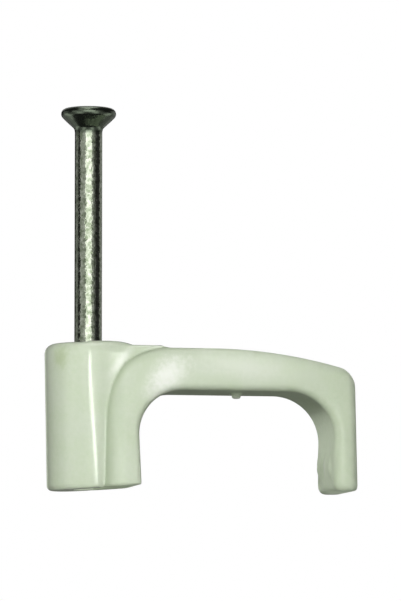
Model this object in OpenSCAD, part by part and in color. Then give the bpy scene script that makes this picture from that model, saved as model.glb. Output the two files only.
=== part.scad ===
// Nail-in cable clip: a moulded saddle with a round boss, an arm over the cable and a hook leg,
// and the plated steel nail that the boss holds ready to be driven into the wall.
// Millimetres. The origin is where the nail's axis meets the wall, +Z points away from the wall,
// +X runs from the boss to the hook, and the cable runs along Y.

/* [Cable space] */
// Width of the space for the cable, from the stem to the hook
cable_w = 15.45; // [10:0.05:24]
// Height of the space for the cable, from the wall to the arm
cable_h = 7.78; // [6:0.01:14]
// Radius of the inner corner beside the boss
stem_corner_r = 3.6; // [1:0.1:4.5]
// Radius of the inner corner beside the hook
hook_corner_r = 3.7; // [1:0.1:4.5]

/* [Arm and hook] */
// Depth of the stem, the arm and the hook, measured along the cable
band_d = 7; // [5.5:0.1:10]
// Thickness of the arm over the cable, before its top falls
arm_t = 3.3; // [2.4:0.05:5]
// Thickness of the stem that rises beside the boss
stem_t = 2.9; // [2.4:0.1:3.4]
// Thickness of the hook's leg at the wall
hook_t = 1.9; // [1.5:0.05:3]
// Lean of the stem's cable side, in degrees
stem_lean = 2.8; // [0:0.1:4]
// Lean of the hook's outer side, which spreads towards the wall, in degrees
hook_lean = 1.2; // [0:0.1:3]
// Outer radius of the bend from the stem into the arm
bend_r = 5.35; // [3.5:0.05:7]
// Length of the arm's level top, after the bend
level_l = 3.35; // [1:0.05:6]
// Fall of the arm's top from its level part to the hook
arm_drop = 1.75; // [0.4:0.05:2.2]
// Radius of the hook's outer shoulder
shoulder_r = 1.15; // [0.9:0.05:2]
// Rounding of the outer edges
outer_edge_r = 0.8; // [0.3:0.05:1]
// Rounding of the edges round the cable
inner_edge_r = 0.5; // [0.1:0.05:0.7]
// Height of the crown on the front and back faces
face_crown = 0.2; // [0.02:0.01:0.3]

/* [Hook foot] */
// Rounding of the foot's corner towards the cable
foot_lead_r = 0.7; // [0.2:0.05:0.9]
// Rounding of the foot's outer corner
foot_heel_r = 0.15; // [0.1:0.05:0.5]
// Rounding of the foot's front and back edges
foot_side_r = 0.2; // [0.1:0.05:0.6]
// Height over which the foot's edges round off
foot_round_h = 0.4; // [0.2:0.05:0.9]
// Height of the bead that keeps the cable behind the hook
bead_h = 0.23; // [0.1:0.01:0.5]
// Length of the bead along the leg
bead_l = 2.3; // [1:0.1:3]
// Height of the bead's middle over the wall
bead_z = 2; // [1.8:0.1:3.5]

/* [Boss] */
// Diameter of the boss at its top
boss_d = 6.8; // [5.6:0.1:10]
// Draft of the boss's side, in degrees
boss_draft = 1.1; // [0:0.05:2]
// Height of the boss over the arm's top
boss_rise = 0.35; // [0.1:0.05:1]
// Rounding of the boss's top edge
boss_top_r = 0.8; // [0.2:0.05:1]
// Rounding of the boss's bottom edge
boss_base_r = 0.45; // [0.1:0.05:0.6]
// Distance from the boss's side to the stem's cable side
stem_out = 0.15; // [0:0.05:1]
// Depth of the web that fills the corner between the boss and the bend
web_d = 5.2; // [3.5:0.1:5.5]
// Height of the web over the arm's top
web_rise = 0.2; // [0:0.05:0.3]
// Length of the web's sloping end, to each side of the end of the bend
web_run = 0.6; // [0.2:0.05:1.2]
// Rounding of the web's top edges
web_edge_r = 0.4; // [0.1:0.05:0.6]
// Length of the flat land under the boss, from its outer side
land_l = 1.2; // [0.8:0.05:2]
// Rise of the relieved base at the stem's cable side
relief_h = 0.42; // [0.1:0.02:0.6]

/* [Gate mark] */
// Diameter of the moulding nub under the arm
gate_d = 0.7; // [0.4:0.05:1.2]
// Length of the nub below the arm
gate_h = 0.43; // [0.2:0.01:0.8]
// Distance from the middle of the cable space to the nub, towards the hook
gate_off = 0.5; // [0:0.1:2]

/* [Nail] */
// Diameter of the nail's shank
nail_d = 2.15; // [1.6:0.05:2.8]
// Length of the nail from its point to the top of its head
nail_l = 29; // [20:0.5:45]
// Diameter of the nail's head
head_d = 4.3; // [3.6:0.1:6]
// Radius of the head's rounded rim
rim_r = 0.42; // [0.2:0.02:0.5]
// Angle between the head's cone and the nail's axis, in degrees
cone_a = 45; // [35:1:55]
// Height of the crown on the head's top
crown_h = 0.08; // [0.02:0.01:0.2]
// Radius of the fillet from the head's cone into the shank
neck_r = 0.5; // [0.2:0.05:1]
// Length of the four-sided point
point_l = 3; // [1.5:0.1:5]
// Height of the nail's point over the wall
point_z = 1; // [0.4:0.1:4]
// Gap between the nail and the bore, all round
nail_fit = 0.02; // [0.01:0.01:0.06]

/* [Hidden] */
$fn = 64;

PLASTIC = [0.82, 0.86, 0.78];
PLATED_STEEL = [0.66, 0.68, 0.66];

// Steps in which a round corner of the band is drawn
ARC_STEPS = 20;
// Steps in which a small rounding is drawn
EDGE_STEPS = 6;
// Steps along the arm between its corners
ARM_STEPS = 8;
// Share of the band's thickness that the rounding of one edge may take up
EDGE_SHARE = 0.45;
// Places across a crowned face where the loft has points, from -1 at one edge to 1 at the other
CROWN_PLACES = [-0.5, 0, 0.5];
// Extra length of a cutting solid past the faces it cuts
OVER = 1;

// Lines of the band, in X and Z
half_d = band_d / 2;
arm_top = cable_h + arm_t;
stem_in = boss_d / 2 + stem_out;
stem_outer = stem_in - stem_t;
hook_in = stem_in + cable_w;
hook_out = hook_in + hook_t;

// Centres of the band's round corners
stem_corner = [stem_in + stem_corner_r, cable_h - stem_corner_r];
hook_corner = [hook_in - hook_corner_r, cable_h - hook_corner_r];
bend = [stem_outer + bend_r, arm_top - bend_r];
fall_run = hook_out - bend.x - level_l;
fall_r = (fall_run * fall_run + arm_drop * arm_drop) / (2 * arm_drop);
fall = [bend.x + level_l, arm_top - fall_r];
// The shoulder touches the fall from within and the hook's leaning side
shoulder_run = (hook_out - fall.x) * cos(hook_lean) - fall.y * sin(hook_lean) - shoulder_r;
fall_a = asin(shoulder_run / (fall_r - shoulder_r)) - hook_lean;
shoulder = fall + (fall_r - shoulder_r) * [sin(fall_a), cos(fall_a)];

// The stem's cable side leans, so it leaves its corner below the corner's centre
stem_foot = stem_corner - stem_corner_r * [cos(stem_lean), sin(stem_lean)];
stem_base = stem_foot.x + stem_foot.y * tan(stem_lean);

// Boss and nail
boss_h = arm_top + boss_rise;
bore_d = nail_d + 2 * nail_fit;
head_top = point_z + nail_l;

// Points along an arc about c, from angle a0 to a1
function arc(c, r, a0, a1, steps) =
    [for (i = [0:steps]) let (a = a0 + (a1 - a0) * i / steps) c + r * [cos(a), sin(a)]];

// Height of the arm's top at x
function top_at(x) = x <= fall.x ? arm_top : fall.y + sqrt(fall_r * fall_r - (x - fall.x) * (x - fall.x));

// Place of the hook's outer side at height z
function side_at(z) = hook_out - z * tan(hook_lean);

// Side of the band that faces the cable, from the stem's base to the top of the foot
inner_line = concat(
    [[stem_base, 0]],
    arc(stem_corner, stem_corner_r, 180 + stem_lean, 90, ARC_STEPS),
    [for (i = [1:ARM_STEPS - 1])
        [stem_corner.x + (hook_corner.x - stem_corner.x) * i / ARM_STEPS, cable_h]],
    arc(hook_corner, hook_corner_r, 90, 0, ARC_STEPS)
);

// Outer side of the band, with one point for each point of the inner line
half_steps = ARC_STEPS / 2;
over_hook = shoulder.x + shoulder_r * sin(fall_a) - hook_corner.x;
outer_line = concat(
    [[stem_outer, 0]],
    arc(bend, bend_r, 180, 90, ARC_STEPS),
    [for (i = [1:ARM_STEPS - 1])
        let (x = bend.x + (hook_corner.x - bend.x) * i / ARM_STEPS) [x, top_at(x)]],
    [for (i = [0:half_steps - 2])
        let (x = hook_corner.x + over_hook * i / (half_steps - 1)) [x, top_at(x)]],
    arc(shoulder, shoulder_r, 90 - fall_a, hook_lean, half_steps),
    [[side_at(hook_corner.y), hook_corner.y]]
);

// Section of the band across a thickness t: u runs from the outer side to the cable side, and
// the section is drawn round from the outer edge, with half depth d
function section(t, d) =
    let (
        outer_r = min(outer_edge_r, EDGE_SHARE * t),
        inner_r = min(inner_edge_r, EDGE_SHARE * t),
        edge_d = d - face_crown,
        front = concat(
            arc([outer_r, outer_r - edge_d], outer_r, 180, 270, EDGE_STEPS),
            [for (s = CROWN_PLACES)
                [outer_r + (t - outer_r - inner_r) * (1 + s) / 2, face_crown * s * s - d]],
            arc([t - inner_r, inner_r - edge_d], inner_r, 270, 360, EDGE_STEPS)
        )
    )
    concat(front, [for (i = [len(front) - 1:-1:0]) [front[i].x, -front[i].y]]);

// Ring of points between an outer point and an inner point of the band's side lines
function ring(outer, inner, d) =
    let (t = norm(inner - outer), dir = (inner - outer) / t)
    [for (p = section(t, d)) [outer.x + dir.x * p.x, p.y, outer.y + dir.y * p.x]];

// Rings that round off the foot, which shrink as they near the wall
foot_rings = [for (i = [0:EDGE_STEPS])
    let (a = 90 * i / EDGE_STEPS, in = 1 - cos(a), z = foot_round_h * (1 - sin(a)))
    ring([side_at(z) - foot_heel_r * in, z], [hook_in + foot_lead_r * in, z], half_d - foot_side_r * in)];

band_rings = concat(
    [for (i = [0:len(inner_line) - 1]) ring(outer_line[i], inner_line[i], half_d)],
    foot_rings
);

// Turns an outline in X and Z into an upright solid of depth d about the middle plane
module upright(d) {
    rotate([90, 0, 0]) linear_extrude(d, center = true) children();
}

// Solid through a row of rings that have the same number of points
module loft(rings) {
    n = len(rings[0]);
    last = (len(rings) - 1) * n;
    sides = [for (j = [0:len(rings) - 2], i = [0:n - 1])
        let (a = j * n + i, b = j * n + (i + 1) % n)
        each [[a, a + n, b], [b, a + n, b + n]]];
    caps = [[for (i = [0:n - 1]) i], [for (i = [n - 1:-1:0]) last + i]];
    polyhedron([for (r = rings) each r], concat(sides, caps));
}

// Stem, arm and hook, drawn out along one line
module band() {
    loft(band_rings);
}

// What is cut off a square corner at the origin to round it
module corner_cut(r) {
    difference() {
        square(r);
        translate([r, r]) circle(r);
    }
}

// Web that fills the corner between the boss and the outside of the bend
module web() {
    web_top = arm_top + web_rise;
    difference() {
        upright(web_d) polygon(concat(
            [[0, bend.y], [0, web_top], [bend.x - web_run, web_top], [bend.x + web_run, arm_top - web_rise]],
            arc(bend, bend_r - outer_edge_r, 90, 180, ARC_STEPS)
        ));
        for (side = [0, 1])
            mirror([0, side, 0]) translate([0, -web_d / 2, web_top]) rotate([90, 0, 90])
                linear_extrude(bend.x + web_run) mirror([0, 1]) corner_cut(web_edge_r);
    }
}

// Boss with its draft and its rounded top and bottom edges
module boss() {
    top_r = boss_d / 2;
    base_r = top_r - boss_h * tan(boss_draft);
    rotate_extrude() polygon(concat(
        [[0, 0]],
        arc([base_r - boss_base_r, boss_base_r], boss_base_r, -90, -boss_draft, EDGE_STEPS),
        arc([top_r - boss_top_r, boss_h - boss_top_r], boss_top_r, -boss_draft, 90, EDGE_STEPS),
        [[0, boss_h]]
    ));
}

// What is cut from under the boss and the stem, so that the base bears on its outer land
module base_relief() {
    land_x = land_l - boss_d / 2;
    rise_a = atan(relief_h / (stem_base - land_x));
    translate([land_x, 0, 0]) rotate([0, -rise_a, 0])
        translate([0, -boss_d, -OVER]) cube([stem_base - land_x + OVER, 2 * boss_d, OVER]);
}

// Shallow bead across the inside of the hook's leg
module bead() {
    bead_r = (bead_l * bead_l / 4 + bead_h * bead_h) / (2 * bead_h);
    upright(band_d - 2 * (face_crown + inner_edge_r)) intersection() {
        translate([hook_in - bead_h + bead_r, bead_z]) circle(bead_r);
        translate([hook_in - bead_h, bead_z - bead_l / 2]) square([bead_h + inner_edge_r, bead_l]);
    }
}

// Nub that the moulding gate leaves under the middle of the arm
module gate_nub() {
    nub_r = gate_d / 2;
    translate([stem_in + cable_w / 2 + gate_off, 0, cable_h - gate_h]) rotate_extrude() polygon(concat(
        [[0, gate_h + inner_edge_r]],
        [[0, 0]],
        arc([nub_r / 2, nub_r / 2], nub_r / 2, -90, 0, EDGE_STEPS),
        [[nub_r, gate_h + inner_edge_r]]
    ));
}

module clip_body() {
    color(PLASTIC) difference() {
        union() {
            band();
            web();
            boss();
            bead();
            gate_nub();
        }
        base_relief();
        translate([0, 0, -OVER]) cylinder(h = boss_h + 2 * OVER, d = bore_d);
    }
}

// Head, neck and shank, turned about the nail's axis
module nail_blank() {
    shank_r = nail_d / 2;
    rim = [head_d / 2 - rim_r, head_top - crown_h - rim_r];
    // The cone is tangent to the round of the rim and to the fillet of the neck
    cone_start = rim + rim_r * [cos(cone_a), -sin(cone_a)];
    cone_w = cone_start.x - shank_r - neck_r * (1 - cos(cone_a));
    neck = [shank_r + neck_r, cone_start.y - cone_w / tan(cone_a) - neck_r * sin(cone_a)];
    crown_r = (rim.x * rim.x + crown_h * crown_h) / (2 * crown_h);
    crown_a = asin(rim.x / crown_r);
    rotate_extrude() polygon(concat(
        [[0, point_z]],
        [[shank_r, point_z]],
        arc(neck, neck_r, 180, 180 - cone_a, EDGE_STEPS),
        arc(rim, rim_r, -cone_a, 90, EDGE_STEPS),
        arc([0, head_top - crown_r], crown_r, 90 - crown_a, 90, EDGE_STEPS)
    ));
}

// Four flats that grind the end of the shank to a point
module point_cuts() {
    slope = atan(nail_d / 2 / point_l);
    for (turn = [45:90:315])
        translate([0, 0, point_z]) rotate([0, 0, turn]) rotate([0, slope, 0])
            translate([0, -nail_d, -OVER]) cube([nail_d, 2 * nail_d, 2 * point_l + OVER]);
}

module nail() {
    color(PLATED_STEEL) difference() {
        nail_blank();
        point_cuts();
    }
}

clip_body();
nail();
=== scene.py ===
"""Looks of a nail-in cable clip: a moulded plastic saddle and the plated steel nail in its boss."""

import math
from collections import namedtuple

import bpy
import numpy as np
import openvdb
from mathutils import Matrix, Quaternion, Vector


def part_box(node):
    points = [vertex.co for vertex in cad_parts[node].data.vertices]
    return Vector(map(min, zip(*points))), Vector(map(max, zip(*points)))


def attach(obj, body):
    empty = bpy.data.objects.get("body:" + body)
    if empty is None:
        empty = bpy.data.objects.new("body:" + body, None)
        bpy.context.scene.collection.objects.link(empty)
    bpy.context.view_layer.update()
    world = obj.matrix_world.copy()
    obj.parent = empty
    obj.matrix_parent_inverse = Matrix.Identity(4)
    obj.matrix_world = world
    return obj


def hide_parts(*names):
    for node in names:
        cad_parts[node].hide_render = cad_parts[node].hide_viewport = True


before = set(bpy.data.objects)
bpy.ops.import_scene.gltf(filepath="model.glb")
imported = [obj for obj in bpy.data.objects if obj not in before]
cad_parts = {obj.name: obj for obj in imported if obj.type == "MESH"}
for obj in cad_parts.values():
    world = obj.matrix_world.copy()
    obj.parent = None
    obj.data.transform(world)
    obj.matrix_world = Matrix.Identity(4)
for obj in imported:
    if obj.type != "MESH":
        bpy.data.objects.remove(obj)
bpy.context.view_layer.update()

# Blender works in metres, and the sizes of the clip are in millimetres
MM = 0.001

# Height of the photograph, in pixels, and the camera that took it
PHOTO_H = 601
CAMERA_AZIMUTH = math.radians(-11.14)
CAMERA_ELEVATION = math.radians(-5.23)
CAMERA_DISTANCE = 350 * MM
CAMERA_NEAR = 10 * MM
CAMERA_TARGET = Vector((8.918, 0, 15.03)) * MM
PIXEL_AT_TARGET = 0.0783 * MM
SENSOR_H = 36.0

# Studio lights, which are a little green, and what they aim at
LIGHT_TINT = (0.97, 1.0, 0.94)
BACKDROP_TINT = (0.9, 1.0, 0.8)
CLIP_MIDDLE = Vector((8.9, 0, 8)) * MM
BOSS_MIDDLE = Vector((0, 0, 5.2)) * MM
BASE_MIDDLE = Vector((0.3, -0.6, 0)) * MM
FOOT_MIDDLE = Vector((20, -0.6, 0)) * MM
NAIL_MIDDLE = Vector((0, 0, 21)) * MM

# Cards that the nail mirrors: how far off they stand, and the elevations of some of them, in degrees
CARD_DISTANCE = 0.5
BESIDE_SHANK = (-9, 19)
BEHIND_HEAD = (22, 65)

# Lower cards all round, for when the nail is seen from above, each with a brighter streak, in degrees
RING_CARDS = 5
RING_PITCH = 360 / RING_CARDS
RING_ELEVATIONS = (-48, -8)
RING_BRIGHTNESS = 0.25
STREAK_FROM = 10
STREAK_TO = 34
STREAK_BRIGHTNESS = 1

# World as a light, and the sky overhead that shows in reflections, between two heights given as sines
AMBIENT = 0.05
SKY_FROM = 0.9
SKY_FULL = 0.98
SKY_STRENGTH = 2.5

# Floor: half its width, in metres, and its finish
FLOOR_HALF = 0.6
FLOOR_GREY = 0.8
FLOOR_ROUGHNESS = 0.9

# Outer sizes of the moulding, from the frame
body_low, body_high = (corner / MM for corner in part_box("clip_body"))
boss_r = -body_low.x
boss_h = body_high.z
hook_out = body_high.x

# Stem, arm and hook, and the space for the cable between them
half_d = body_high.y
arm_step = 0.35
arm_t = 3.3
stem_gap = 0.15
stem_t = 2.9
hook_t = 1.9
arm_top = boss_h - arm_step
cable_h = arm_top - arm_t
stem_in = boss_r + stem_gap
stem_out = stem_in - stem_t
hook_in = hook_out - hook_t
cable_x = (stem_in + hook_in) / 2
stem_lean = math.radians(2.8)
stem_corner_r = 3.6
hook_corner_r = 3.7
bend_r = 5.35
level_l = 3.35
level_end = stem_out + bend_r + level_l
arm_drop = 1.75
fall_r = ((hook_out - level_end) ** 2 + arm_drop**2) / (2 * arm_drop)
shoulder_r = 1.15
hook_lean = math.radians(1.2)
outer_edge_r = 0.8
inner_edge_r = 0.5
face_crown = 0.2

# Foot of the hook and the bead inside it
foot_lead_r = 0.7
foot_edge_r = 0.2
bead_h = 0.23
bead_l = 2.3
bead_z = 2.0

# Boss, its bore and the web beside it
boss_draft = math.radians(1.1)
boss_top_r = 0.8
boss_base_r = 0.45
bore_r = 1.095
bore_edge_r = 0.12
web_half_d = 2.6
web_rise = 0.2
web_run = 0.6
web_edge_r = 0.4
land_l = 1.2
land_x = land_l - boss_r
relief_h = 0.42
relief_edge_r = 0.15

# Fillets that the mould leaves where the forms meet
web_fillet = 0.7
boss_fillet = 0.12
bead_fillet = 0.25

# Painted shade in the crease along the boss and the web, which also takes the gloss off there: how far it
# reaches onto the band and onto the boss
crease_w = 0.95
crease_lip = 0.1

# Gloss of the stem, the arm and the hook, beside that of the boss
band_polish = 0.25

# Painted shade towards the hook's end, standing in for the light falling off there: where that starts,
# where it is full and how strong it is there
hook_shade_from = 14.5 * MM
hook_shade_to = 19.5 * MM
hook_shade_share = 0.16

# Lumps inside the hook's leg
lump_h = 0.09
lump_mean = 1.0
lump_z = 1.9
lump_reach = 1.6
lump_depth = 0.5

# Nub of the moulding gate under the arm
gate_r = 0.35
gate_h = 0.43
gate_shift = 0.5
gate_x = cable_x + gate_shift

# Marks on the plastic, mostly painted highlights and painted shade beside one yellowed stain: sizes are in
# millimetres, and the lean about the Y axis is in degrees
Mark = namedtuple("Mark", ("middle", "half_sizes", "lean", "strength", "colour"))
# Colours of the painted highlights, of a yellowed stain and of the painted shade
PAINTED_LIGHT = (1.0, 1.0, 0.97)
YELLOWED = (0.56, 0.65, 0.42)
PAINTED_SHADE = (0.42, 0.49, 0.35)
front_y = 0.1 - half_d
# Painted sheen: a whitish patch along the arm's upper front, standing in for the reflection of a soft light
arm_painted_sheen = Mark(
    middle=(stem_in + 7.95, front_y, arm_top - 1.45), half_sizes=(4.5, 3, 1.1),
    lean=-6, strength=0.45, colour=PAINTED_LIGHT)
# Painted highlight on the inner part of the bend
bend_painted_highlight = Mark(
    middle=(stem_in + 2.05, front_y, cable_h + 1.05), half_sizes=(1.3, 3, 2.2),
    lean=-40, strength=1, colour=PAINTED_LIGHT)
# Painted light on the gate nub, which lies in the arm's shadow
gate_painted_light = Mark(
    middle=(gate_x, 0, cable_h - gate_h), half_sizes=(0.45, 0.45, 0.45),
    lean=0, strength=1, colour=PAINTED_LIGHT)
# Painted shade beside the lumps round the bead, inside the hook's leg
bead_painted_shade = Mark(
    middle=(hook_in - 0.1, 2.2, lump_z), half_sizes=(1, 2.2, 1.3),
    lean=0, strength=0.5, colour=PAINTED_SHADE)
# Painted shade in the inner corner between the arm and the hook
corner_painted_shade = Mark(
    middle=(hook_in - 1.2, 0, cable_h - 1.15), half_sizes=(1.6, 4, 1.6),
    lean=0, strength=0.4, colour=PAINTED_SHADE)
boss_blotch = Mark(
    middle=(-0.75 * boss_r, -0.66 * boss_r, boss_h - 1.2), half_sizes=(0.8, 0.8, 1),
    lean=0, strength=0.8, colour=YELLOWED)
# Painted highlight on the web along the crease
web_painted_highlight = Mark(
    middle=(2.05, -2.7, boss_h - 1.5), half_sizes=(0.4, 1.5, 1.5),
    lean=-40, strength=0.6, colour=PAINTED_LIGHT)
# Painted highlight on a lump inside the hook's leg
lump_painted_highlight = Mark(
    middle=(hook_in, -0.6, lump_z + 0.1), half_sizes=(0.6, 0.6, 0.7),
    lean=0, strength=0.5, colour=PAINTED_LIGHT)
MARKS = (arm_painted_sheen, bend_painted_highlight, gate_painted_light, bead_painted_shade, corner_painted_shade, boss_blotch, web_painted_highlight, lump_painted_highlight)

# Edges of the marks: how ragged they are, and where a mark starts to fade and ends, in half sizes
MARK_RAGGED = 0.35
MARK_FULL = 0.2
MARK_END = 1.6

# Mesh of the moulding, and the names of its masks
MESH_STEP = 0.115
MESH_MARGIN = 4
SLOPE_REACH = MESH_STEP / 20
LEAST_STEEPNESS = 0.1
CREASE = "crease"
POLISH = "polish"


def round_overlap(a, b, r):
    """Distance to where two solids overlap, with the edge between them rounded to r."""
    return np.minimum(np.maximum(a, b), -r) + np.hypot(np.maximum(a + r, 0), np.maximum(b + r, 0))


def fillet_join(a, b, r):
    """Distance to two solids joined, with a fillet of radius r in the corner between them."""
    return np.maximum(np.minimum(a, b), r) - np.hypot(np.maximum(r - a, 0), np.maximum(r - b, 0))


def outer_side(x, z):
    """Distance beyond the outer side of the stem, the arm and the hook."""
    falling = np.hypot(x - level_end, z - arm_top + fall_r) - fall_r
    top = np.where(x < level_end, z - arm_top, falling)
    hook = (x - hook_out) * math.cos(hook_lean) + z * math.sin(hook_lean)
    return round_overlap(round_overlap(top, stem_out - x, bend_r), hook, shoulder_r)


def cable_side(x, z):
    """Distance into the cable space, from the side of the band that faces it."""
    corner_x = stem_in + stem_corner_r
    corner_z = cable_h - stem_corner_r
    stem = (corner_x - x) * math.cos(stem_lean) - stem_corner_r - (z - corner_z) * math.sin(stem_lean)
    space = round_overlap(stem, z - cable_h, stem_corner_r)
    return -round_overlap(space, x - hook_in, hook_corner_r)


def band(x, y, z):
    """Distance to the stem, the arm and the hook, which are one band with crowned faces and round edges."""
    outer = outer_side(x, z)
    inner = cable_side(x, z)
    thickness = np.maximum(-outer - inner, 1)
    across = np.clip((inner - outer) / thickness, -1, 1)
    face = np.abs(y) - half_d + face_crown * across**2
    lead = round_overlap(inner, -z, foot_lead_r)
    at_hook = np.clip(x - cable_x, 0, 1)
    solid = round_overlap(outer, face, outer_edge_r)
    solid = round_overlap(solid, inner + (lead - inner) * at_hook, inner_edge_r)
    return round_overlap(solid, -z, foot_edge_r)


def web(x, y, z):
    """Distance to the web that fills the corner between the boss and the bend."""
    bend_x = stem_out + bend_r
    bend_z = arm_top - bend_r
    top = np.maximum(z - arm_top - web_rise, z - arm_top + (x - bend_x) * web_rise / web_run)
    slab = round_overlap(np.abs(y) - web_half_d, top, web_edge_r)
    ends = np.maximum(-x, bend_z - z)
    bend = bend_r - outer_edge_r - np.hypot(np.minimum(x - bend_x, 0), z - bend_z)
    return np.maximum(np.maximum(slab, ends), bend)


def boss(x, y, z):
    """Distance to the boss, which tapers towards the wall."""
    side = (np.hypot(x, y) - boss_r) * math.cos(boss_draft) + (boss_h - z) * math.sin(boss_draft)
    solid = round_overlap(side, z - boss_h, boss_top_r)
    return round_overlap(solid, -z, boss_base_r)


def bead(x, y, z):
    """Distance to the low bead that keeps the cable behind the hook."""
    bead_r = (bead_l**2 / 4 + bead_h**2) / (2 * bead_h)
    ridge = np.hypot(x - hook_in + bead_h - bead_r, z - bead_z) - bead_r
    ends = np.maximum(np.abs(y) - half_d + face_crown + 2 * inner_edge_r, x - hook_in - inner_edge_r)
    return round_overlap(ridge, ends, inner_edge_r)


def lumps(x, y, z):
    """Height of the uneven skin inside the hook's leg, from waves that don't keep step with each other."""
    near = np.exp(-(((x - hook_in) / lump_depth) ** 2) - ((z - lump_z) / lump_reach) ** 2)
    slow = np.sin(1.7 * y + 1.1 * np.sin(1.3 * z)) * np.sin(2.1 * z + 0.8 * np.sin(1.9 * y) + 0.6)
    quick = np.sin(2.9 * y - 1.6 * z + 1.4 * np.sin(0.9 * y + 0.7 * z))
    inside = np.clip(1 - (y / half_d) ** 8, 0, 1)
    return near * inside * lump_h * (lump_mean + slow + 0.5 * quick)


def gate_nub(x, y, z):
    """Distance to the nub that the moulding gate leaves under the arm."""
    side = np.hypot(x - gate_x, y) - gate_r
    ends = np.maximum(cable_h - gate_h - z, z - cable_h - inner_edge_r)
    return round_overlap(side, ends, gate_r / 2)


def boss_and_web(x, y, z):
    """Distance to the boss and the web, which flow into each other."""
    return fillet_join(boss(x, y, z), web(x, y, z), web_fillet)


def crease(x, y, z):
    """How deep a place on the band lies in the crease along the boss and the web, from 0 to 1."""
    on_band = np.clip(1 - boss_and_web(x, y, z) / crease_w, 0, 1)
    return on_band * np.clip(1 - band(x, y, z) / crease_lip, 0, 1)


def polish(x, y, z):
    """Gloss of the skin: full on the boss and the web, less on the band and none in the crease."""
    on_band = np.clip(boss_and_web(x, y, z) / crease_lip, 0, 1)
    return (1 + (band_polish - 1) * on_band) * (1 - crease(x, y, z))


def moulding(x, y, z):
    """Distance to the whole moulding, in millimetres, and below 0 inside it."""
    solid = fillet_join(boss_and_web(x, y, z), band(x, y, z), boss_fillet)
    solid = fillet_join(solid, bead(x, y, z), bead_fillet) - lumps(x, y, z)
    solid = fillet_join(solid, gate_nub(x, y, z), bead_fillet)
    rise_a = math.atan2(relief_h, stem_in - land_x)
    relief = (x - land_x) * math.sin(rise_a) - z * math.cos(rise_a)
    relief = np.where(x < cable_x, relief, -1)
    solid = round_overlap(solid, relief, relief_edge_r)
    return round_overlap(solid, bore_r - np.hypot(x, y), bore_edge_r)


def settle(points, steps=3):
    """Moves points onto the moulding's surface, along its slope."""
    for _ in range(steps):
        slope = np.empty_like(points)
        for axis in range(3):
            ahead = points.copy()
            behind = points.copy()
            ahead[:, axis] += SLOPE_REACH
            behind[:, axis] -= SLOPE_REACH
            slope[:, axis] = (moulding(*ahead.T) - moulding(*behind.T)) / (2 * SLOPE_REACH)
        steepness = np.maximum((slope**2).sum(1, keepdims=True), LEAST_STEEPNESS)
        points = points - moulding(*points.T)[:, None] * slope / steepness
    return points


def make_clip_body():
    """Moulding as one mesh, drawn out of its distance field."""
    low = np.array(body_low) - MESH_MARGIN * MESH_STEP
    high = np.array(body_high) + MESH_MARGIN * MESH_STEP
    axes = [np.arange(low[i], high[i], MESH_STEP) for i in range(3)]
    field = moulding(*np.meshgrid(*axes, indexing="ij"))
    grid = openvdb.FloatGrid(MESH_MARGIN * MESH_STEP)
    grid.copyFromArray(field.astype(np.float32))
    points, quads = grid.convertToQuads(0.0)
    points = settle(low + points.astype(float) * MESH_STEP)
    mesh = bpy.data.meshes.new("clip_body_moulding")
    mesh.from_pydata((points * MM).tolist(), [], quads.tolist())
    mesh.shade_smooth()
    for name, mask in ((CREASE, crease), (POLISH, polish)):
        values = mesh.attributes.new(name, "FLOAT", "POINT")
        values.data.foreach_set("value", mask(*points.T))
    piece = bpy.data.objects.new("clip_body_moulding", mesh)
    bpy.context.scene.collection.objects.link(piece)
    return piece


def add_node(tree, kind, inputs=None, **settings):
    """Adds a node. Each input, by name or number, gets a value or the output socket of another node."""
    node = tree.nodes.new(kind)
    for name, value in settings.items():
        setattr(node, name, value)
    for name, value in (inputs or {}).items():
        if isinstance(value, bpy.types.NodeSocket):
            tree.links.new(value, node.inputs[name])
        else:
            node.inputs[name].default_value = value
    return node


def calculate(tree, operation, a, b=0.0):
    """Output of a math node."""
    return add_node(tree, "ShaderNodeMath", {0: a, 1: b}, operation=operation).outputs[0]


def new_group(name, kind, inputs, outputs):
    """Node group with its named sockets, and its input and output nodes."""
    tree = bpy.data.node_groups.new(name, kind)
    for in_out, sockets in (("INPUT", inputs), ("OUTPUT", outputs)):
        for socket, socket_type in sockets.items():
            tree.interface.new_socket(socket, in_out=in_out, socket_type="NodeSocket" + socket_type)
    return tree, tree.nodes.new("NodeGroupInput").outputs, tree.nodes.new("NodeGroupOutput").inputs


# Nail, whose outer sizes come from the frame
nail_low, nail_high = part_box("nail")
head_r = nail_high.x
shank_r = 1.075 * MM
rim_r = 0.42 * MM
neck_r = 0.5 * MM
crown_h = 0.08 * MM
cone_a = math.radians(45)
point_l = 3 * MM
NAIL_ROWS = 420
NAIL_TURNS = 72
NAIL_FILLET_STEPS = 16
NAIL_WELD = 0.001 * MM
LEAST_FLAT = 0.01 * MM


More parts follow.
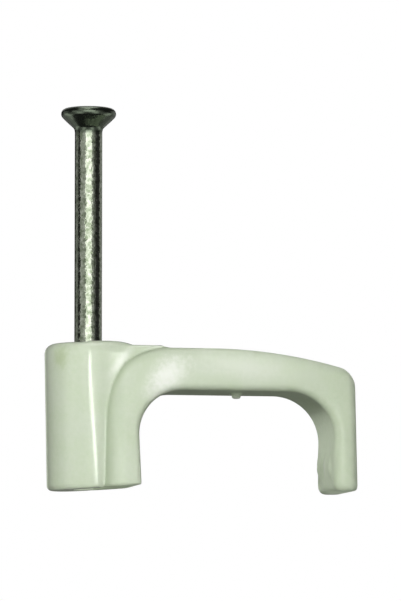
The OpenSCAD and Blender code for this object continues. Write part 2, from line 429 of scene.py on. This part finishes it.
def nail_tree():
    """Turns a profile of straight stretches and fillets about the nail's axis, and flattens its point."""
    sizes = ("Shank Radius", "Tip Height", "Neck Height", "Neck Fillet", "Corner Radius", "Corner Height",
             "Rim Radius", "Rim Centre", "Crown Height", "Point Length")
    inputs = {name: "Float" for name in sizes} | {"Rows": "Int", "Turns": "Int", "Material": "Material"}
    tree, given, result = new_group("turned_nail", "GeometryNodeTree", inputs, {"Nail": "Geometry"})

    def place(radius, height):
        """Corner of the profile."""
        return add_node(tree, "ShaderNodeCombineXYZ", {"X": radius, "Z": height}).outputs[0]

    def by_index(data_type, values):
        """Value for each corner of the profile, in their order."""
        switch = tree.nodes.new("GeometryNodeIndexSwitch")
        switch.data_type = data_type
        while len(switch.index_switch_items) < len(values):
            switch.index_switch_items.new()
        tree.links.new(tree.nodes.new("GeometryNodeInputIndex").outputs[0], switch.inputs[0])
        for socket, value in zip(switch.inputs[1:], values):
            if isinstance(value, bpy.types.NodeSocket):
                tree.links.new(value, socket)
            else:
                socket.default_value = value
        return switch.outputs[0]

    corners = [
        place(given["Shank Radius"], given["Tip Height"]),
        place(given["Shank Radius"], given["Neck Height"]),
        place(given["Corner Radius"], given["Corner Height"]),
        place(0.0, given["Corner Height"]),
    ]
    fillets = by_index("FLOAT", [0.0, given["Neck Fillet"], given["Rim Radius"], 0.0])
    line = add_node(tree, "GeometryNodeMeshLine", {"Count": len(corners)})
    line = add_node(tree, "GeometryNodeSetPosition",
                    {"Geometry": line.outputs[0], "Position": by_index("VECTOR", corners)})
    line = add_node(tree, "GeometryNodeMeshToCurve", {"Mesh": line.outputs[0]})
    profile = add_node(tree, "GeometryNodeFilletCurve",
                       {"Curve": line.outputs[0], "Count": NAIL_FILLET_STEPS, "Radius": fillets},
                       mode="POLY")

    grid = add_node(tree, "GeometryNodeMeshGrid",
                    {"Vertices X": given["Turns"], "Vertices Y": given["Rows"]})
    around = add_node(tree, "ShaderNodeSeparateXYZ", {0: grid.outputs["UV Map"]}).outputs
    spot = add_node(tree, "GeometryNodeSampleCurve",
                    {"Curves": profile.outputs[0], "Factor": around["Y"]}, mode="FACTOR")
    spot = add_node(tree, "ShaderNodeSeparateXYZ", {0: spot.outputs["Position"]}).outputs
    angle = calculate(tree, "MULTIPLY", around["X"], math.tau)
    x = calculate(tree, "MULTIPLY", spot["X"], calculate(tree, "COSINE", angle))
    y = calculate(tree, "MULTIPLY", spot["X"], calculate(tree, "SINE", angle))

    # The top of the head is a low crown inside the rim
    share = calculate(tree, "DIVIDE", spot["X"], given["Rim Centre"])
    dome = calculate(tree, "SUBTRACT", 1.0, calculate(tree, "MULTIPLY", share, share))
    dome = calculate(tree, "MULTIPLY", calculate(tree, "MAXIMUM", dome, 0.0), given["Crown Height"])
    on_top = calculate(tree, "GREATER_THAN", spot["Z"], given["Neck Height"])
    z = calculate(tree, "ADD", spot["Z"], calculate(tree, "MULTIPLY", dome, on_top))

    # Four flats bring the end of the shank to a point
    flat = calculate(tree, "MAXIMUM",
                     calculate(tree, "ABSOLUTE", calculate(tree, "ADD", x, y)),
                     calculate(tree, "ABSOLUTE", calculate(tree, "SUBTRACT", x, y)))
    flat = calculate(tree, "MAXIMUM", calculate(tree, "MULTIPLY", flat, math.sqrt(0.5)), LEAST_FLAT)
    slope = calculate(tree, "DIVIDE", given["Shank Radius"], given["Point Length"])
    room = calculate(tree, "MULTIPLY", calculate(tree, "SUBTRACT", z, given["Tip Height"]), slope)
    squeeze = calculate(tree, "MINIMUM", calculate(tree, "DIVIDE", room, flat), 1.0)
    turned = add_node(tree, "ShaderNodeCombineXYZ", {
        "X": calculate(tree, "MULTIPLY", x, squeeze), "Y": calculate(tree, "MULTIPLY", y, squeeze), "Z": z})

    mesh = add_node(tree, "GeometryNodeSetPosition",
                    {"Geometry": grid.outputs["Mesh"], "Position": turned.outputs[0]})
    mesh = add_node(tree, "GeometryNodeMergeByDistance",
                    {"Geometry": mesh.outputs[0], "Distance": NAIL_WELD})
    mesh = add_node(tree, "GeometryNodeSetShadeSmooth", {"Geometry": mesh.outputs[0]})
    mesh = add_node(tree, "GeometryNodeRealizeInstances", {"Geometry": mesh.outputs[0]})
    mesh = add_node(tree, "GeometryNodeSetMaterial",
                    {"Geometry": mesh.outputs[0], "Material": given["Material"]})
    tree.links.new(mesh.outputs[0], result["Nail"])
    return tree


def from_nodes(name, tree, values):
    """Piece with the plain mesh that a geometry tree makes from these values."""
    piece = bpy.data.objects.new(name, bpy.data.meshes.new(name))
    bpy.context.scene.collection.objects.link(piece)
    modifier = piece.modifiers.new(name, "NODES")
    modifier.node_group = tree
    for socket in tree.interface.items_tree:
        if socket.in_out == "INPUT":
            modifier[socket.identifier] = values[socket.name]
    bpy.context.view_layer.update()
    evaluated = piece.evaluated_get(bpy.context.evaluated_depsgraph_get())
    mesh = bpy.data.meshes.new_from_object(evaluated)
    piece.modifiers.clear()
    piece.data = mesh
    return piece


def make_nail(material):
    """Countersunk nail. The head's cone meets the flat top in a corner, which the rim rounds off."""
    rim_x = head_r - rim_r
    corner_z = nail_high.z - crown_h
    rise = rim_r * (1 + math.sin(cone_a))
    corner_x = rim_x + rim_r * math.cos(cone_a) + rise * math.tan(cone_a)
    return from_nodes("plated_nail", nail_tree(), {
        "Shank Radius": shank_r,
        "Tip Height": nail_low.z,
        "Neck Height": corner_z - (corner_x - shank_r) / math.tan(cone_a),
        "Neck Fillet": neck_r,
        "Corner Radius": corner_x,
        "Corner Height": corner_z,
        "Rim Radius": rim_r,
        "Rim Centre": rim_x,
        "Crown Height": crown_h,
        "Point Length": point_l,
        "Rows": NAIL_ROWS,
        "Turns": NAIL_TURNS + 1,
        "Material": material,
    })


# Noise of the mottle: how many layers its patches and its grain have, and the values they are drawn from
PATCH_LAYERS = 3.0
GRAIN_LAYERS = 2.0
NOISE_ROUGHNESS = 0.55
NOISE_LOW = 0.25
NOISE_HIGH = 0.75

# Plastic: sizes, colours and gloss of its patches and its grain
PLASTIC_PATCH_SIZE = 2.5 * MM
PLASTIC_GRAIN_SIZE = 0.35 * MM
GREEN_PATCH = (0.66, 0.74, 0.57)
PALE_PATCH = (0.70, 0.76, 0.63)
PALE_GRAIN = (0.78, 0.82, 0.72)
GRAIN_SHARE = 0.3
GLOSSY_PATCH = 0.32
DULL_PATCH = 0.42
COAT_ROUGHNESS = 0.11
PLASTIC_SPECULAR = 0.2
PEEL_STRENGTH = 0.06
PEEL_DEPTH = 0.02 * MM

# Plating: sizes and colours of its mottle, and the plainer head with its bright, dull crown
STEEL_PATCH_SIZE = 0.8 * MM
STEEL_GRAIN_SIZE = 0.3 * MM
DARK_PLATING = (0.16, 0.19, 0.13)
BRIGHT_PLATING = (0.46, 0.48, 0.42)
HEAD_PLATING = (0.115, 0.135, 0.105)
SHANK_ROUGHNESS = 0.1
HEAD_ROUGHNESS = 0.22
CROWN_ROUGHNESS = 0.45
PIT_STRENGTH = 0.7
PIT_DEPTH = 0.02 * MM
head_from = nail_high.z - 1.9 * MM
head_blend = 0.3 * MM
crown_from = nail_high.z - 0.1 * MM
crown_blend = 0.03 * MM


def mottle_group():
    """Patches and fine grain, at sizes in metres, which both the plastic and the plating show."""
    tree, given, result = new_group(
        "surface_mottle", "ShaderNodeTree",
        {"Position": "Vector", "Patch Size": "Float", "Grain Size": "Float"},
        {"Patches": "Float", "Grain": "Float"})
    kinds = (("Patch Size", "Patches", PATCH_LAYERS), ("Grain Size", "Grain", GRAIN_LAYERS))
    for size, output, layers in kinds:
        finer = calculate(tree, "DIVIDE", 1.0, given[size])
        noise = add_node(tree, "ShaderNodeTexNoise",
                         {"Vector": given["Position"], "Scale": finer, "Detail": layers,
                          "Roughness": NOISE_ROUGHNESS})
        spread = add_node(tree, "ShaderNodeMapRange",
                          {"Value": noise.outputs[0], "From Min": NOISE_LOW, "From Max": NOISE_HIGH},
                          interpolation_type="SMOOTHSTEP")
        tree.links.new(spread.outputs[0], result[output])
    return tree


def own_place(tree):
    """Place on the piece, in its own coordinates."""
    return tree.nodes.new("ShaderNodeTexCoord").outputs["Object"]


def place_mottle(tree, group, patch_size, grain_size):
    """Mottle group in a material, on the piece's own coordinates."""
    sizes = {"Patch Size": patch_size, "Grain Size": grain_size}
    return add_node(tree, "ShaderNodeGroup", {"Position": own_place(tree)} | sizes, node_tree=group).outputs


def mix_colours(tree, factor, first, second):
    """Colour between two colours, each one fixed or the output of a node."""
    ends = [c if isinstance(c, bpy.types.NodeSocket) else (*c, 1) for c in (first, second)]
    # The node has sockets for every kind of data, and these are the ones for colours
    return add_node(tree, "ShaderNodeMix", {0: factor, 6: ends[0], 7: ends[1]}, data_type="RGBA").outputs[2]


def add_mark(tree, tint, grain, mark):
    """Tint with a mark over it, which is soft and ragged round its edge."""
    offset = add_node(tree, "ShaderNodeVectorMath",
                      {0: own_place(tree), 1: Vector(mark.middle) * MM}, operation="SUBTRACT")
    turned = add_node(tree, "ShaderNodeVectorRotate",
                      {"Vector": offset.outputs[0], "Axis": (0, 1, 0), "Angle": math.radians(mark.lean)})
    stretch = add_node(tree, "ShaderNodeVectorMath",
                       {0: turned.outputs[0], 1: Vector(mark.half_sizes) * MM}, operation="DIVIDE")
    far = add_node(tree, "ShaderNodeVectorMath", {0: stretch.outputs[0]}, operation="LENGTH")
    uneven = calculate(tree, "MULTIPLY", grain, MARK_RAGGED)
    ragged = calculate(tree, "ADD", far.outputs["Value"], uneven)
    fade = add_node(tree, "ShaderNodeMapRange",
                    {"Value": ragged, "From Min": MARK_FULL, "From Max": MARK_END,
                     "To Min": mark.strength, "To Max": 0.0},
                    interpolation_type="SMOOTHSTEP")
    return mix_colours(tree, fade.outputs[0], tint, mark.colour)


def make_plastic(group):
    """White polyethylene with a green tint, cloudy in places, with painted highlights and painted shade,
    and a little uneven in its gloss.
    """
    material = bpy.data.materials.new("moulded_plastic")
    material.use_nodes = True
    tree = material.node_tree
    shader = tree.nodes["Principled BSDF"]
    mottle = place_mottle(tree, group, PLASTIC_PATCH_SIZE, PLASTIC_GRAIN_SIZE)
    tint = mix_colours(tree, mottle["Patches"], GREEN_PATCH, PALE_PATCH)
    tint = mix_colours(tree, calculate(tree, "MULTIPLY", mottle["Grain"], GRAIN_SHARE), tint, PALE_GRAIN)
    # The marks paint highlights and shade onto the tint, and one is a yellowed stain
    for mark in MARKS:
        tint = add_mark(tree, tint, mottle["Grain"], mark)

    # Painted shade towards the hook's end and in the crease
    along = add_node(tree, "ShaderNodeSeparateXYZ", {0: own_place(tree)}).outputs["X"]
    # Painted shade that grows towards the hook's end
    hook_shade = add_node(tree, "ShaderNodeMapRange",
                    {"Value": along, "From Min": hook_shade_from, "From Max": hook_shade_to, "To Max": hook_shade_share})
    tint = mix_colours(tree, hook_shade.outputs[0], tint, PAINTED_SHADE)
    # Painted shade in the crease, from the crease mask
    crease_shade = add_node(tree, "ShaderNodeAttribute", attribute_name=CREASE).outputs["Fac"]
    tint = mix_colours(tree, crease_shade, tint, PAINTED_SHADE)

    skin = add_node(tree, "ShaderNodeAttribute", attribute_name=POLISH).outputs["Fac"]
    gloss = add_node(tree, "ShaderNodeMapRange",
                     {"Value": mottle["Patches"], "To Min": GLOSSY_PATCH, "To Max": DULL_PATCH})
    peel = add_node(tree, "ShaderNodeBump",
                    {"Height": mottle["Grain"], "Strength": PEEL_STRENGTH, "Distance": PEEL_DEPTH})
    tree.links.new(tint, shader.inputs["Base Color"])
    tree.links.new(gloss.outputs[0], shader.inputs["Roughness"])
    tree.links.new(peel.outputs[0], shader.inputs["Normal"])
    tree.links.new(skin, shader.inputs["Coat Weight"])
    shader.inputs["Coat Roughness"].default_value = COAT_ROUGHNESS
    shader.inputs["Specular IOR Level"].default_value = PLASTIC_SPECULAR
    return material


def make_steel(group):
    """Bright plating over drawn wire, with a fine mottle that breaks up its reflections."""
    material = bpy.data.materials.new("plated_steel")
    material.use_nodes = True
    tree = material.node_tree
    shader = tree.nodes["Principled BSDF"]
    shader.inputs["Metallic"].default_value = 1
    mottle = place_mottle(tree, group, STEEL_PATCH_SIZE, STEEL_GRAIN_SIZE)
    height = add_node(tree, "ShaderNodeSeparateXYZ", {0: own_place(tree)}).outputs["Z"]
    below_head = {"From Min": head_from - head_blend, "From Max": head_from, "To Min": 1.0, "To Max": 0.0}
    on_crown = {"From Min": crown_from, "From Max": crown_from + crown_blend}
    shank = add_node(tree, "ShaderNodeMapRange", {"Value": height} | below_head).outputs[0]
    crown = add_node(tree, "ShaderNodeMapRange", {"Value": height} | on_crown).outputs[0]

    drawn = mix_colours(tree, mottle["Grain"], DARK_PLATING, BRIGHT_PLATING)
    head = mix_colours(tree, crown, HEAD_PLATING, BRIGHT_PLATING)
    tint = mix_colours(tree, shank, head, drawn)
    dull = add_node(tree, "ShaderNodeMapRange",
                    {"Value": crown, "To Min": HEAD_ROUGHNESS, "To Max": CROWN_ROUGHNESS})
    gloss = add_node(tree, "ShaderNodeMapRange",
                     {"Value": shank, "To Min": dull.outputs[0], "To Max": SHANK_ROUGHNESS})
    rough_skin = calculate(tree, "MULTIPLY", mottle["Grain"], shank)
    pits = add_node(tree, "ShaderNodeBump",
                    {"Height": rough_skin, "Strength": PIT_STRENGTH, "Distance": PIT_DEPTH})
    tree.links.new(tint, shader.inputs["Base Color"])
    tree.links.new(gloss.outputs[0], shader.inputs["Roughness"])
    tree.links.new(pits.outputs[0], shader.inputs["Normal"])
    return material


def make_floor():
    """Pale floor under the clip. The camera stands below it, so its underside lets everything through."""
    mesh = bpy.data.meshes.new("floor")
    corners = [(x * FLOOR_HALF, y * FLOOR_HALF, 0) for x, y in ((-1, -1), (1, -1), (1, 1), (-1, 1))]
    mesh.from_pydata(corners, [], [(0, 1, 2, 3)])
    floor = bpy.data.objects.new("floor", mesh)
    bpy.context.scene.collection.objects.link(floor)
    material = bpy.data.materials.new("pale_floor")
    material.use_nodes = True
    tree = material.node_tree
    shader = tree.nodes["Principled BSDF"]
    shader.inputs["Base Color"].default_value = (FLOOR_GREY, FLOOR_GREY, FLOOR_GREY, 1)
    shader.inputs["Roughness"].default_value = FLOOR_ROUGHNESS
    clear = tree.nodes.new("ShaderNodeBsdfTransparent")
    side = tree.nodes.new("ShaderNodeNewGeometry")
    choice = tree.nodes.new("ShaderNodeMixShader")
    tree.links.new(side.outputs["Backfacing"], choice.inputs["Fac"])
    tree.links.new(shader.outputs[0], choice.inputs[1])
    tree.links.new(clear.outputs[0], choice.inputs[2])
    tree.links.new(choice.outputs[0], tree.nodes["Material Output"].inputs["Surface"])
    mesh.materials.append(material)
    floor.visible_diffuse = False
    floor.visible_glossy = False
    floor.visible_shadow = False
    return floor


def direction(azimuth, elevation):
    """Unit vector from the clip towards an azimuth, which is 0 in front and grows to the right."""
    flat = math.cos(elevation)
    return Vector((math.sin(azimuth) * flat, -math.cos(azimuth) * flat, math.sin(elevation)))


def make_camera():
    """Camera at the photograph's viewing angle, with the same scale."""
    data = bpy.data.cameras.new("camera")
    data.sensor_fit = "VERTICAL"
    data.sensor_height = SENSOR_H
    data.lens = SENSOR_H * CAMERA_DISTANCE / (PHOTO_H * PIXEL_AT_TARGET)
    data.clip_start = CAMERA_NEAR
    camera = bpy.data.objects.new("camera", data)
    toward = direction(CAMERA_AZIMUTH, CAMERA_ELEVATION)
    camera.location = CAMERA_TARGET + CAMERA_DISTANCE * toward
    camera.rotation_euler = toward.to_track_quat("Z", "Y").to_euler()
    bpy.context.scene.collection.objects.link(camera)
    bpy.context.scene.camera = camera


def receivers(name, *pieces):
    """Collection of the pieces that a light or a card is for."""
    collection = bpy.data.collections.new(name)
    for piece in pieces:
        collection.objects.link(piece)
    return collection


def add_light(lit, name, azimuth, elevation, distance, width, height, power, aim=CLIP_MIDDLE, roll=0):
    """Soft light that faces its aim. Angles are in degrees, and roll turns it about its own axis."""
    data = bpy.data.lights.new(name, "AREA")
    data.shape = "RECTANGLE"
    data.size = width
    data.size_y = height
    data.energy = power
    data.color = LIGHT_TINT
    light = bpy.data.objects.new(name, data)
    toward = direction(math.radians(azimuth), math.radians(elevation))
    light.location = aim + distance * toward
    turn = toward.to_track_quat("Z", "Y") @ Quaternion((0, 0, 1), math.radians(roll))
    light.rotation_euler = turn.to_euler()
    light.visible_camera = False
    light.visible_glossy = False
    light.light_linking.receiver_collection = lit
    bpy.context.scene.collection.objects.link(light)
    return light


def add_card(lit, name, azimuth, elevation, distance, width, height, brightness, aim=CLIP_MIDDLE, roll=0):
    """Card that only shows in reflections."""
    power = brightness * math.pi * width * height
    card = add_light(lit, name, azimuth, elevation, distance, width, height, power, aim, roll)
    card.visible_glossy = True
    card.visible_diffuse = False
    return card


def add_nail_card(lit, name, azimuths, elevations, brightness):
    """Card that the nail mirrors, between two azimuths and two elevations in degrees."""
    first, last = azimuths
    low, high = elevations
    width = 2 * CARD_DISTANCE * math.tan(math.radians(last - first) / 2)
    height = 2 * CARD_DISTANCE * math.tan(math.radians(high - low) / 2)
    azimuth = (first + last) / 2
    elevation = (low + high) / 2
    add_card(lit, name, azimuth, elevation, CARD_DISTANCE, width, height, brightness, NAIL_MIDDLE)


def make_world():
    """White to the camera, dim as a light, and with a soft sky that only shows in reflections."""
    world = bpy.data.worlds.new("studio")
    bpy.context.scene.world = world
    world.use_nodes = True
    tree = world.node_tree
    background = tree.nodes["Background"]
    background.inputs["Color"].default_value = (1, 1, 1, 1)
    upward = add_node(tree, "ShaderNodeSeparateXYZ",
                      {0: tree.nodes.new("ShaderNodeTexCoord").outputs["Generated"]}).outputs["Z"]
    sky = add_node(tree, "ShaderNodeMapRange",
                   {"Value": upward, "From Min": SKY_FROM, "From Max": SKY_FULL, "To Max": SKY_STRENGTH})
    path = tree.nodes.new("ShaderNodeLightPath")
    mirrored = calculate(tree, "MULTIPLY", sky.outputs[0], path.outputs["Is Glossy Ray"])
    tree.links.new(calculate(tree, "ADD", mirrored, AMBIENT), background.inputs["Strength"])
    shown = tree.nodes.new("ShaderNodeBackground")
    shown.inputs["Color"].default_value = (1, 1, 1, 1)
    choice = tree.nodes.new("ShaderNodeMixShader")
    tree.links.new(path.outputs["Is Camera Ray"], choice.inputs["Fac"])
    tree.links.new(background.outputs[0], choice.inputs[1])
    tree.links.new(shown.outputs[0], choice.inputs[2])
    tree.links.new(choice.outputs[0], tree.nodes["World Output"].inputs["Surface"])


bpy.context.scene.view_settings.view_transform = "Standard"
mottle = mottle_group()

clip_body = make_clip_body()
clip_body.data.materials.append(make_plastic(mottle))
nail = make_nail(make_steel(mottle))
for piece, node, slot in ((clip_body, "clip_body", "moulded_plastic"), (nail, "nail", "plated_steel")):
    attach(piece, "root")
    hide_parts(node)

floor = make_floor()
make_world()
make_camera()
on_clip = receivers("on_clip", clip_body, nail)
on_body = receivers("on_body", clip_body)
on_nail = receivers("on_nail", nail)
on_floor = receivers("on_floor", floor)

# Lights, with distances and sizes in metres
add_light(on_floor, "floor_light", azimuth=0, elevation=89, distance=0.8, width=1.5, height=1.5, power=12)
add_light(on_clip, "key", azimuth=-21, elevation=17, distance=0.12, width=0.05, height=0.05, power=0.106)
add_light(on_clip, "low_front", azimuth=-6, elevation=-2, distance=0.5, width=0.16, height=0.06, power=0.25)
add_light(on_clip, "left_fill", azimuth=-75, elevation=10, distance=0.5, width=0.15, height=0.3, power=0.03)
add_light(on_clip, "right_fill", azimuth=80, elevation=8, distance=0.5, width=0.15, height=0.3, power=0.35)
add_light(on_clip, "left_back", azimuth=-135, elevation=12, distance=0.5, width=0.2, height=0.2, power=0.54)
add_light(on_clip, "right_back", azimuth=118, elevation=20, distance=0.5, width=0.2, height=0.2, power=0.8)
add_light(on_clip, "back_key", azimuth=172, elevation=16, distance=0.5, width=0.2, height=0.15, power=1.4)
add_light(on_clip, "top_back", azimuth=170, elevation=58, distance=0.5, width=0.3, height=0.3, power=0.65)
bounce = add_light(on_clip, "bounce", azimuth=-10, elevation=-50, distance=0.5, width=0.3, height=0.3,
                   power=0.31)
bounce.data.color = BACKDROP_TINT

# Small lights close under the base of the boss and under the foot
add_light(on_body, "boss_base_light", azimuth=0, elevation=-90, distance=0.003, width=0.007, height=0.006,
          power=0.00017, aim=BASE_MIDDLE)
add_light(on_body, "foot_light", azimuth=0, elevation=-90, distance=0.003, width=0.002, height=0.005,
          power=0.00007, aim=FOOT_MIDDLE)

# Cards that the plastic mirrors
add_card(on_body, "boss_strip", azimuth=3.6, elevation=1.8, distance=0.08, width=0.038, height=0.003,
         brightness=18, aim=BOSS_MIDDLE, roll=-19.5)
add_card(on_body, "boss_side", azimuth=-59, elevation=5, distance=0.5, width=0.3, height=0.2,
         brightness=0.7)
add_card(on_body, "web_card", azimuth=54, elevation=4.3, distance=0.5, width=0.12, height=0.02,
         brightness=6)
add_card(on_body, "web_glow", azimuth=49, elevation=4.3, distance=0.5, width=0.22, height=0.02,
         brightness=5)
backdrop = add_card(on_body, "backdrop", azimuth=-168, elevation=0, distance=0.4, width=0.12, height=0.16,
                    brightness=0.75)
backdrop.data.color = BACKDROP_TINT

# Cards that the nail mirrors
add_nail_card(on_nail, "nail_left_rim", (-142, -106), BESIDE_SHANK, brightness=0.3)
add_nail_card(on_nail, "nail_left", (-82, -31), BESIDE_SHANK, brightness=0.65)
add_nail_card(on_nail, "nail_front", (-31, 18), BESIDE_SHANK, brightness=2.5)
add_nail_card(on_nail, "nail_middle", (-18, 5), BESIDE_SHANK, brightness=5.5)
add_nail_card(on_nail, "nail_right", (18, 38), BESIDE_SHANK, brightness=0.5)
add_nail_card(on_nail, "nail_right_end", (38, 54), BESIDE_SHANK, brightness=0.15)
add_nail_card(on_nail, "nail_right_rim", (100, 145), BESIDE_SHANK, brightness=0.4)
add_card(on_nail, "head_glint", azimuth=-28, elevation=44, distance=0.5, width=0.42, height=0.24,
         brightness=1.2, aim=NAIL_MIDDLE)
add_card(on_nail, "head_spark", azimuth=-16, elevation=50, distance=0.5, width=0.12, height=0.1,
         brightness=4, aim=NAIL_MIDDLE)
add_nail_card(on_nail, "nail_head_back", (150, 205), BEHIND_HEAD, brightness=0.4)
for turn in range(RING_CARDS):
    start = turn * RING_PITCH
    ring = (start, start + RING_PITCH)
    streak = (start + STREAK_FROM, start + STREAK_TO)
    add_nail_card(on_nail, f"nail_ring_{turn}", ring, RING_ELEVATIONS, RING_BRIGHTNESS)
    add_nail_card(on_nail, f"nail_streak_{turn}", streak, RING_ELEVATIONS, STREAK_BRIGHTNESS)
